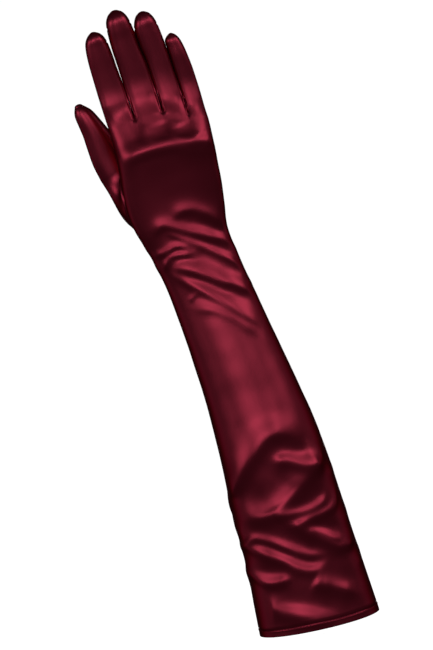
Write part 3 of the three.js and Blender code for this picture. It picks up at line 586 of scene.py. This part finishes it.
def finger_edges(i):
    """1 in columns that part at once from the next finger, down to 0 in those that follow slowly."""
    arc = np.abs(2 * ARC_AT[:-1] - 1) ** PARTING_POWER
    edge = np.concatenate([arc, np.full(SIDE, float(i < LAST)), arc, np.full(SIDE, float(i > 0))])
    if i == 0:
        edge[np.r_[0:ARC // 2, ARC + SIDE + ARC // 2: 2 * ARC + SIDE]] = 0
    if i == LAST:
        edge[np.r_[ARC // 2 + 1: ARC + SIDE + ARC // 2]] = 0
    return edge


def base_slopes(cloth, base, top, below_top):
    """How much Y changes with height where the back and palm of the hand reach the finger."""
    slope = np.zeros(len(base))
    on_top = np.isin(base, top)
    column = np.searchsorted(top, base[on_top])
    step = cloth.points[top[column]] - cloth.points[below_top[column]]
    slope[on_top] = step[:, 1] / step[:, 2]
    return slope


def build_finger(cloth, i, top, below_top, bridges):
    tip = FINGERS[NAMES[i]][0]
    base = finger_base(i, top, bridges)
    start = cloth.points[base]
    base_height = start[:, 2].mean()
    share = finger_shares()
    x, y, turn = finger_rings(i, share, mix(base_height, tip[2], share))
    z = mix(start[:, 2], tip[2], share[:, None])
    for crease in CREASES[NAMES[i]]:
        dent = CREASE["depth"] * np.exp(-(((z - crease) / CREASE["width"]) ** 2))
        y = y - dent * np.maximum(0, -np.sin(turn))
    fast = np.sqrt(np.minimum(1, share / GROWTH["opens"]))[:, None]
    slow = smooth(0, GROWTH["round"], share)[:, None]
    lean = base_slopes(cloth, base, top, below_top) * (z - start[:, 2])
    x = mix(start[:, 0], x, mix(slow, fast, finger_edges(i)))
    rings = np.stack([x, mix(start[:, 1] + lean, y, slow), z], -1)
    numbers = np.concatenate([base[None], cloth.add(rings)])
    uv = ring_uv(np.concatenate([start[None], rings]))
    uv[..., 1] += base_height * MM

    corner_numbers, places = ring_faces(numbers, uv)
    owner = np.full(corner_numbers.shape[:2], "hand_and_sleeve", dtype=object)
    strip_rows = np.searchsorted(share, STRIP_TOP + TINY)
    if i < LAST:
        owner[:strip_rows, ARC: ARC + SIDE] = strip_name(i)
    if i > 0:
        owner[:strip_rows, 2 * ARC + SIDE:] = strip_name(i - 1)
    for piece in sorted(set(owner.ravel())):
        mine = owner == piece
        cloth.face(piece, corner_numbers[mine], places[mine])
    cap_uv = np.stack([uv[-1, :-1], uv[-1, 1:], uv[-1, 1:], uv[-1, :-1]], 1)
    close_tip(cloth, "hand_and_sleeve", numbers[-1], tip, cap_uv)
    return numbers, strip_seams(i, numbers, strip_rows)


def close_tip(cloth, piece, ring, tip, cap_uv, flip=False):
    """Triangles from the last ring to the tip."""
    tip_number = np.full_like(ring, cloth.add(np.array([tip], float))[0])
    ends = (ring, np.roll(ring, -1))
    cloth.face(piece, np.stack([*(ends[::-1] if flip else ends), tip_number, tip_number], -1), cap_uv)


def strip_seams(i, numbers, strip_rows):
    """Chains of points along the seams of the strips on a finger's sides."""
    seams, rows = [], slice(strip_rows + 1)
    if i < LAST:
        seams += [numbers[rows, ARC], numbers[rows, ARC + SIDE], numbers[strip_rows, ARC: ARC + SIDE + 1]]
    if i > 0:
        seams += [numbers[rows, 2 * ARC + SIDE], numbers[rows, 0]]
        seams.append(np.append(numbers[strip_rows, 2 * ARC + SIDE:], numbers[strip_rows, 0]))
    return seams


def strip_name(i):
    return f"finger_strip_{NAMES[i]}_{NAMES[i + 1]}"


def hole_edge(turn, grow):
    """Where the edge of the thumb's hole lies on the smooth sleeve, and the direction outwards."""
    z = HOLE["height"] + (HOLE["half"] + grow) * np.cos(turn)
    angle = np.radians(HOLE["middle"]) + (np.radians(HOLE["reach"]) + grow / HOLE["radius"]) * np.sin(turn)
    dx, dy = -np.cos(angle), np.sin(angle)
    s = at(SLEEVE, z)
    half, centre = (s["little"] - s["thumb"]) / 2, (s["thumb"] + s["little"]) / 2
    near, far = np.zeros_like(z), np.full_like(z, HOLE["far"])
    for _ in range(HALVINGS):
        r = (near + far) / 2
        py = HOLE["y"] + dy * r
        across = np.abs((HOLE["x"] + dx * r - centre) / half) ** s["square"]
        outside = across + np.abs(py / np.where(py < 0, s["back"], s["palm"])) ** s["square"] > 1
        near, far = np.where(outside, near, r), np.where(outside, r, far)
    place = np.stack([HOLE["x"] + dx * near, HOLE["y"] + dy * near, z], -1)
    return place, np.stack([dx, dy, np.zeros_like(dx)], -1)


def hole_share(points):
    """1 on the edge of the thumb's hole, less inside it."""
    angle = np.arctan2(points[:, 1] - HOLE["y"], -(points[:, 0] - HOLE["x"]))
    a = (angle - np.radians(HOLE["middle"])) / np.radians(HOLE["reach"])
    return np.hypot(a, (points[:, 2] - HOLE["height"]) / HOLE["half"])


def thumb_section(height, turn):
    """Points round the free part of the thumb."""
    s = at(THUMB, height)
    inner = np.stack([s["inX"], s["inY"], s["inZ"]], -1)
    outer = np.stack([s["outX"], s["outY"], s["outZ"]], -1)
    middle, across = (inner + outer) / 2, (inner - outer) / 2
    deep = np.asarray(s["deep"])
    lift = np.zeros((*np.broadcast(deep, turn).shape, 3))
    lift[..., 1] = deep * np.sin(turn)
    return middle + across * np.cos(turn)[..., None] + lift


def thumb_mound(skewed, edge, out):
    """Rings from the edge of the thumb's hole to where the thumb stands free."""
    low, high = THUMB["height"][:2]
    ends = [(thumb_section(h, np.array(0.0)) + thumb_section(h, np.array(np.pi))) / 2 for h in (low, high)]
    axis = unit(ends[1] - ends[0])
    inner_edge, _ = hole_edge(THUMB_TURNS, -MOUND["gap"])
    end = thumb_section(low, skewed)
    leaving = unit(inner_edge - edge) + out * (MOUND["lift"] * (1 - np.cos(THUMB_TURNS)) / 2)[:, None]
    crotch = smooth(MOUND["crotch"], 1, np.cos(THUMB_TURNS))
    reach = mix(MOUND["run"] * np.linalg.norm(end - edge, axis=1), MOUND["dip"], crotch)[:, None]
    leaving, arriving = unit(leaving) * reach, axis[None] * reach
    edge = edge + out * fold_rise(edge)[:, None]
    rest = np.linspace(MOUND_ROWS["starts"], 1, MOUND_ROWS["rest"])
    t = np.concatenate([MOUND_ROWS["first"], rest])[:, None, None]
    return mix(edge, end, t * t * (3 - 2 * t)) + leaving * t * (1 - t) ** 2 - arriving * (1 - t) * t * t


def build_thumb():
    """The thumb's cloth and its normals, with the seam round its hole pressed in."""
    cloth = Cloth()
    skewed = THUMB_TURNS - np.radians(MOUND["skew"]) * (1 - np.cos(THUMB_TURNS)) / 2
    edge, out = hole_edge(THUMB_TURNS, 0.0)
    mound = thumb_mound(skewed, edge, out)
    lower = np.linspace(THUMB["height"][0], THUMB_ROWS["finer_from"], THUMB_ROWS["lower"])
    upper = np.linspace(THUMB_ROWS["finer_from"], THUMB["height"][-1], THUMB_ROWS["upper"])
    heights = np.concatenate([lower[1:], upper[1:]])
    free = thumb_section(heights[:, None], np.broadcast_to(skewed, (len(heights), THUMB_COLUMNS)))
    rim, middle = free[-1], free[-1].mean(0)
    dome = [mix(middle, np.array(THUMB_TIP, float), np.sin(a)) + (rim - middle) * np.cos(a)
            for a in np.radians(THUMB_DOME)]
    rings = np.concatenate([mound, free, np.array(dome)])
    numbers = cloth.add(rings)
    corners, uv = ring_faces(numbers, ring_uv(rings), flip=True)
    cloth.face("thumb", corners.reshape(-1, 4), uv.reshape(-1, 4, 2))
    close_tip(cloth, "thumb", numbers[-1], THUMB_TIP, np.repeat(uv[-1][:, :1], 4, 1), flip=True)
    cloth.close()

    normals = cloth.normals()
    normals[numbers[0]] = out
    near = numbers[:SEAM_ROWS]
    dip = seam_dip(np.linalg.norm(cloth.points[near] - cloth.points[numbers[0]], axis=2))
    cloth.points[near] += normals[near] * dip[..., None]
    return cloth, normals


def seam_dip(distance):
    """The groove of a seam and the slight bead beside it."""
    dip = -SEAM["depth"] * np.exp(-((distance / SEAM["width"]) ** 2))
    return dip + SEAM["bead"] * np.exp(-(((distance - SEAM["bead_at"]) / SEAM["bead_width"]) ** 2))


def cut_hole(cloth):
    """Moves the points nearest to the thumb's seam onto it, and takes away the cloth inside."""
    quads, far = cloth.quads, 9
    share = np.where(cloth.points[:, 1] > PALM_SIDE, hole_share(cloth.points), far)
    for corner in range(4):
        a, b = quads[:, corner], quads[:, (corner + 1) % 4]
        near = (share[a] < far / 3) & (share[b] < far / 3)
        for k in np.flatnonzero(((share[a] < 1) != (share[b] < 1)) & near):
            i, j = a[k], b[k]
            if share[i] == 1 or share[j] == 1 or (share[i] < 1) == (share[j] < 1):
                continue
            t = (1 - share[i]) / (share[j] - share[i])
            mover = i if t < 0.5 else j
            cloth.points[mover] = mix(cloth.points[i], cloth.points[j], t)
            share[mover] = 1
    inside = share[quads]
    touched = inside.min(1) < 1
    keep_quads, keep_uv, keep_pieces = [quads[~touched]], [cloth.uvs[~touched]], [cloth.pieces[~touched]]
    for k in np.flatnonzero(touched & (inside.max(1) > 1)):
        s = inside[k]
        a, b, c, d = (0, 1, 2, 3) if s[0] == 1 and s[2] == 1 else (1, 2, 3, 0)
        for corners in ([a, b, c, c], [a, c, d, d]):
            if s[corners].min() >= 1 and s[corners].max() > 1:
                keep_quads.append(quads[k][corners][None])
                keep_uv.append(cloth.uvs[k][corners][None])
                keep_pieces.append(cloth.pieces[k: k + 1])
    cloth.quads = np.vstack(keep_quads)
    cloth.uvs = np.concatenate(keep_uv)
    cloth.pieces = np.concatenate(keep_pieces)


def free_edges(quads, uvs, count):
    """Sides of faces that no other face shares, with the places on the cloth of their ends."""
    sides = np.concatenate([np.stack([quads[:, c], quads[:, (c + 1) % 4]], 1) for c in range(4)])
    side_uv = np.concatenate([np.stack([uvs[:, c], uvs[:, (c + 1) % 4]], 1) for c in range(4)])
    real = sides[:, 0] != sides[:, 1]
    sides, side_uv = sides[real], side_uv[real]
    free = ~np.isin(edge_keys(sides, count), edge_keys(sides[:, ::-1], count))
    return sides[free], side_uv[free]


def edge_keys(ends, count):
    """One number for each pair of point numbers below count."""
    return ends[:, 0].astype(np.int64) * count + ends[:, 1]


def mark_sharp(mesh, edges):
    """Marks edges as sharp, so that a wall's rim isn't shaded as round."""
    count = len(mesh.vertices)
    ends = np.zeros(len(mesh.edges) * 2, np.int32)
    mesh.edges.foreach_get("vertices", ends)
    sharp = np.isin(edge_keys(np.sort(ends.reshape(-1, 2), 1), count), edge_keys(np.sort(edges, 1), count))
    mark = mesh.attributes.new("sharp_edge", "BOOLEAN", "EDGE")
    mark.data.foreach_set("value", sharp)


def make_piece(name, cloth, normals, wall, slot, material):
    """One piece of the cloth as a closed wall, as an object that stands for its CAD node."""
    mine = cloth.pieces == name
    quads, uvs = cloth.quads[mine], cloth.uvs[mine]
    used, index = np.unique(quads, return_inverse=True)
    quads = index.reshape(quads.shape)
    points, normal = cloth.points[used], normals[used]
    count = len(used)
    rim, rim_uv = free_edges(quads, uvs, count)
    push = np.zeros_like(points)
    along = points[rim[:, 1]] - points[rim[:, 0]]
    outwards = unit(np.cross(along, normal[rim[:, 0]] + normal[rim[:, 1]]))
    for end in (0, 1):
        np.add.at(push, rim[:, end], outwards)
    points = points + unit(push) * EDGE_OVERLAP * (np.linalg.norm(push, axis=1, keepdims=True) > 0)
    vertices = np.vstack([points, points - normal * wall]) * MM
    inner = quads[:, ::-1] + count
    rims = np.stack([rim[:, 0], rim[:, 0] + count, rim[:, 1] + count, rim[:, 1]], 1)
    faces, places = [], []
    for group, uv in ((quads, uvs), (inner, uvs[:, ::-1]), (rims, np.repeat(rim_uv, 2, 1))):
        for corners, place in zip(group.tolist(), uv):
            single = [k for k in range(4) if corners[k] != corners[k - 1]]
            faces.append([corners[k] for k in single])
            places.append(place[single])
    mesh = bpy.data.meshes.new(name)
    mesh.from_pydata(vertices.tolist(), [], faces)
    layer = mesh.uv_layers.new(name="cloth")
    layer.data.foreach_set("uv", np.concatenate(places).astype(np.float32).ravel())
    mesh.shade_smooth()
    mark_sharp(mesh, np.vstack([rim, rim + count]))
    mesh.update()
    return place_object(f"{name}_satin", mesh, slot, material, name)


def new_object(name, data):
    thing = bpy.data.objects.new(name, data)
    bpy.context.scene.collection.objects.link(thing)
    return thing


def place_object(name, mesh, slot, material, *replaced):
    piece = new_object(name, mesh)
    mesh.materials.append(material)
    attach(piece, "root")
    if replaced:
        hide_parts(*replaced)
    return piece


def satin(name, light, dark):
    """Satin: coloured sheen, fine threads along the arm, slight variation of tone, and painted shade that
    darkens the colour towards the outlines.
    """
    material = bpy.data.materials.new(name)
    material.use_nodes = True
    nodes, links = material.node_tree.nodes, material.node_tree.links
    shader = nodes["Principled BSDF"]
    shader.inputs["Metallic"].default_value = SHEEN["metallic"]
    shader.inputs["Specular Tint"].default_value = (*SHEEN["tint"], 1)
    where = nodes.new("ShaderNodeTexCoord")

    tone = nodes.new("ShaderNodeTexNoise")
    tone.inputs["Scale"].default_value = TONE["scale"]
    tone.inputs["Detail"].default_value = TONE["detail"]
    links.new(where.outputs["Object"], tone.inputs["Vector"])
    colour, edge = nodes.new("ShaderNodeMix"), nodes.new("ShaderNodeMix")
    colour.data_type = edge.data_type = "RGBA"
    colour.inputs["A"].default_value = (*dark, 1)
    colour.inputs["B"].default_value = (*light, 1)
    links.new(tone.outputs["Fac"], colour.inputs["Factor"])
    # Painted shade: towards the outlines, where the cloth faces away, the colour darkens to shares of the
    # dark tone.
    facing = nodes.new("ShaderNodeLayerWeight")
    facing.inputs["Blend"].default_value = SHEEN["painted_rim_shade_blend"]
    edge.inputs["B"].default_value = (*[part * share for part, share in zip(dark, SHEEN["painted_rim_shade_shares"])], 1)
    links.new(facing.outputs["Facing"], edge.inputs["Factor"])
    links.new(colour.outputs["Result"], edge.inputs["A"])
    links.new(edge.outputs["Result"], shader.inputs["Base Color"])
    rough = nodes.new("ShaderNodeMapRange")
    rough.inputs["To Min"].default_value, rough.inputs["To Max"].default_value = SHEEN["roughness"]
    links.new(tone.outputs["Fac"], rough.inputs["Value"])
    links.new(rough.outputs["Result"], shader.inputs["Roughness"])

    stretch = nodes.new("ShaderNodeMapping")
    stretch.inputs["Scale"].default_value = (*WEAVE["threads"], 1)
    links.new(where.outputs["UV"], stretch.inputs["Vector"])
    weave = nodes.new("ShaderNodeTexNoise")
    weave.noise_dimensions = "2D"
    weave.inputs["Scale"].default_value = 1
    weave.inputs["Detail"].default_value = WEAVE["detail"]
    links.new(stretch.outputs["Vector"], weave.inputs["Vector"])
    bump = nodes.new("ShaderNodeBump")
    bump.inputs["Strength"].default_value = WEAVE["strength"]
    bump.inputs["Distance"].default_value = WEAVE["height"]
    links.new(weave.outputs["Fac"], bump.inputs["Height"])
    links.new(bump.outputs["Normal"], shader.inputs["Normal"])
    return material


def press_seams(cloth, fingers, hem_row, smooth_points):
    """How far each point sinks at the seams of the strips, the hem and the thumb."""
    dips = np.zeros(len(cloth.points))
    for numbers, seams in fingers:
        mine = np.unique(numbers)
        for seam in seams:
            dip = seam_dip(near_line(cloth.points[mine], cloth.points[seam])[0])
            dips[mine] = np.where(np.abs(dip) > np.abs(dips[mine]), dip, dips[mine])
    low = np.flatnonzero(smooth_points[:, 2] < HEM_SEAM_REACH)
    dips[low] = seam_dip(near_line(cloth.points[low], cloth.points[np.append(hem_row, hem_row[0])])[0])
    edge, _ = hole_edge(np.linspace(0, 2 * np.pi, HOLE_SEAM["steps"]), 0.0)
    level = np.abs(smooth_points[:, 2] - HOLE["height"]) < HOLE_SEAM["reach"]
    palm = np.flatnonzero(level & (smooth_points[:, 1] > PALM_SIDE))
    dips[palm] += seam_dip(near_line(smooth_points[palm], edge)[0])
    return dips


def build_glove():
    """The cloth of all pieces but the thumb, its normals, and the point numbers of the sleeve's rows."""
    cloth = Cloth()
    sleeve = build_sleeve(cloth)
    normals = cloth.normals()
    smooth_points = cloth.points.copy()
    lift = fold_rise(smooth_points) - web_depth(smooth_points) + ripple(smooth_points)
    cloth.points = smooth_points + normals * lift[:, None]
    top = sleeve[-1]
    bridges = [bridge(cloth, top, i) for i in range(LAST)]
    fingers = [build_finger(cloth, i, top, sleeve[-2], bridges) for i in range(LAST + 1)]
    cloth.close()
    normals = cloth.normals()
    dips = press_seams(cloth, fingers, sleeve[HEM_ROWS], smooth_points)
    cut_hole(cloth)
    cloth.points = cloth.points + normals * dips[:, None]
    return cloth, normals, sleeve


def build_stitches(cloth, normals, rows):
    """Short thread stitches round the hem, each a capsule with its ends sunk into the cloth."""
    row = rows[int(np.argmin(np.abs(row_heights()[:len(rows)] - STITCH["height"])))]
    loop = np.append(row, row[0])
    points = cloth.points[loop]
    travelled = np.concatenate([[0], np.cumsum(np.linalg.norm(np.diff(points, axis=0), axis=1))])
    count = round(travelled[-1] / STITCH["pitch"])
    middle = (np.arange(count) + 0.5) * travelled[-1] / count

    def on_loop(values, place):
        return np.stack([np.interp(place, travelled, values[:, k]) for k in range(3)], -1)

    centre, out = on_loop(points, middle), unit(on_loop(normals[loop], middle))
    half = STITCH["length"] / 2
    forward = unit(on_loop(points, middle + half) - on_loop(points, middle - half))
    sideways = np.cross(out, forward)
    t = np.linspace(-1, 1, STITCH["rings"])[:, None, None]
    turn = 2 * np.pi * np.arange(STITCH["sides"])[None, :, None] / STITCH["sides"]
    radius = STITCH["radius"] * np.sqrt(np.maximum(1 - t**4, STITCH["thinnest"]))
    rise = STITCH["radius"] * (STITCH["lift"] - STITCH["sink"] * t**2)
    centre, out, forward, sideways = [v[:, None, None] for v in (centre, out, forward, sideways)]
    threads = centre + forward * t * half + out * (rise + radius * np.sin(turn))
    threads = threads + sideways * radius * np.cos(turn)
    numbers = np.arange(threads[..., 0].size).reshape(threads.shape[:-1])
    faces = ring_quads(numbers).reshape(-1, 4).tolist()
    faces += numbers[:, 0, ::-1].tolist() + numbers[:, -1].tolist()
    mesh = bpy.data.meshes.new("hem_stitches")
    mesh.from_pydata((threads.reshape(-1, 3) * MM).tolist(), [], faces)
    mesh.shade_smooth()
    return mesh


cloth, normals, sleeve = build_glove()
thumb_cloth, thumb_normals = build_thumb()
SATIN = satin("satin", (0.52, 0.045, 0.085), (0.44, 0.034, 0.07))
HEM_SATIN = satin("hem_satin", (0.46, 0.04, 0.075), (0.4, 0.03, 0.06))
make_piece("hand_and_sleeve", cloth, normals, CLOTH, "satin", SATIN)
for gap in range(LAST):
    make_piece(strip_name(gap), cloth, normals, CLOTH, "satin", SATIN)
make_piece("cuff_hem", cloth, normals, HEM_CLOTH, "hem_satin", HEM_SATIN)
make_piece("thumb", thumb_cloth, thumb_normals, CLOTH, "satin", SATIN)
place_object("hem_stitches", build_stitches(cloth, normals, sleeve), "hem_satin", HEM_SATIN)

# The studio, in metres. Each lamp covers a part of the sky round the glove: its name, elevations,
# turns (0 is in front of the back of the hand, 90 at the little finger's side) and watts a square metre.
LAMPS = [
    ("key", (14, 24.5), (-42, 14), 0.62),
    ("key_low", (10, 14), (-30, 14), 0.24),
    ("fill_right", (15, 27), (14, 44), 0.5),
    ("overhead", (27, 40), (-42, 42), 0.09),
    ("side_left", (13, 32), (-90, -42), 0.42),
    ("side_right", (13, 32), (44, 95), 0.5),
    ("rim_left", (-8, 14), (-138, -84), 0.056),
    ("rim_right", (-8, 14), (84, 138), 0.056),
    ("back_low", (-10, 14), (138, 222), 0.1),
    ("back_key", (14, 26), (138, 222), 0.5),
    ("back_overhead", (28, 45), (138, 222), 0.1),
]
LAMP_AIM = Vector((0, 0, 0.3))
LAMP_DISTANCE = 7.0
LAMP_SPREAD = 60  # degrees
WORLD_STRENGTH = 0.03
STAGE = {"ground": -0.0102, "hub": 0.001, "reach": 9, "bend": 1.5, "top": 9, "around": 96, "bend_steps": 12}
CAMERA = {"place": (-0.0033, -6.0, 0.2578), "lens": 405.2, "lean": 18.404}


def area_light(name, elevations, turns, radiance):
    elevation, turn = np.radians(sum(elevations) / 2), np.radians(sum(turns) / 2)
    level, rise = LAMP_DISTANCE * np.cos(elevation), LAMP_DISTANCE * np.sin(elevation)
    place = LAMP_AIM + Vector((level * np.sin(turn), -level * np.cos(turn), rise))
    lamp = bpy.data.lights.new(name, "AREA")
    lamp.shape = "RECTANGLE"
    lamp.size = 2 * level * np.tan(np.radians(turns[1] - turns[0]) / 2)
    lamp.size_y = 2 * LAMP_DISTANCE * np.tan(np.radians(elevations[1] - elevations[0]) / 2)
    lamp.energy = radiance * lamp.size * lamp.size_y
    lamp.spread = np.radians(LAMP_SPREAD)
    holder = new_object(name, lamp)
    holder.location = place
    holder.rotation_euler = (LAMP_AIM - place).to_track_quat("-Z", "Y").to_euler()


def pale():
    """White that glows evenly by itself."""
    material = bpy.data.materials.new("pale_floor")
    material.use_nodes = True
    shader = material.node_tree.nodes["Principled BSDF"]
    shader.inputs["Base Color"].default_value = (0.75, 0.75, 0.75, 1)
    shader.inputs["Roughness"].default_value = 0.8
    shader.inputs["Emission Color"].default_value = (1, 1, 1, 1)
    shader.inputs["Emission Strength"].default_value = 1
    material.cycles.emission_sampling = "NONE"
    return material


def build_stage():
    """A round floor that rises into a wall far from the glove, the same on every side of it.

    Only the camera sees it, so that the satin reflects nothing but the lamps.
    """
    ground, reach, bend, around = STAGE["ground"], STAGE["reach"], STAGE["bend"], STAGE["around"]
    profile = [(STAGE["hub"], ground), (reach, ground)]
    for a in np.linspace(0, np.pi / 2, STAGE["bend_steps"] + 1)[1:]:
        profile.append((reach + bend * np.sin(a), ground + bend * (1 - np.cos(a))))
    profile.append((reach + bend, STAGE["top"]))
    turns = np.linspace(0, 2 * np.pi, around, endpoint=False)
    vertices = [(r * np.cos(a), r * np.sin(a), z) for r, z in profile for a in turns]
    numbers = np.arange(len(vertices)).reshape(len(profile), around)
    mesh = bpy.data.meshes.new("floor")
    mesh.from_pydata(vertices, [], ring_quads(numbers).reshape(-1, 4).tolist())
    mesh.shade_smooth()
    mesh.materials.append(pale())
    floor = new_object("floor", mesh)
    floor.visible_glossy = False
    floor.visible_diffuse = False
    floor.visible_shadow = False


def build_camera():
    """The photo's viewing angle: level, towards the back of the hand, with the arm leaning to the right."""
    lens_data = bpy.data.cameras.new("camera")
    lens_data.lens = CAMERA["lens"]
    holder = new_object("camera", lens_data)
    across, upright = np.sin(np.radians(CAMERA["lean"])), np.cos(np.radians(CAMERA["lean"]))
    right, up, back = (upright, 0, -across), (across, 0, upright), (0, -1, 0)
    turn = Matrix((right, up, back)).transposed().to_4x4()
    holder.matrix_world = Matrix.Translation(CAMERA["place"]) @ turn
    bpy.context.scene.camera = holder


def build_world():
    world = bpy.data.worlds.new("studio")
    world.use_nodes = True
    shade = world.node_tree.nodes["Background"]
    shade.inputs["Color"].default_value = (1, 1, 1, 1)
    shade.inputs["Strength"].default_value = WORLD_STRENGTH
    bpy.context.scene.world = world
    bpy.context.scene.view_settings.view_transform = "Standard"


build_camera()
build_world()
build_stage()
for lamp_values in LAMPS:
    area_light(*lamp_values)
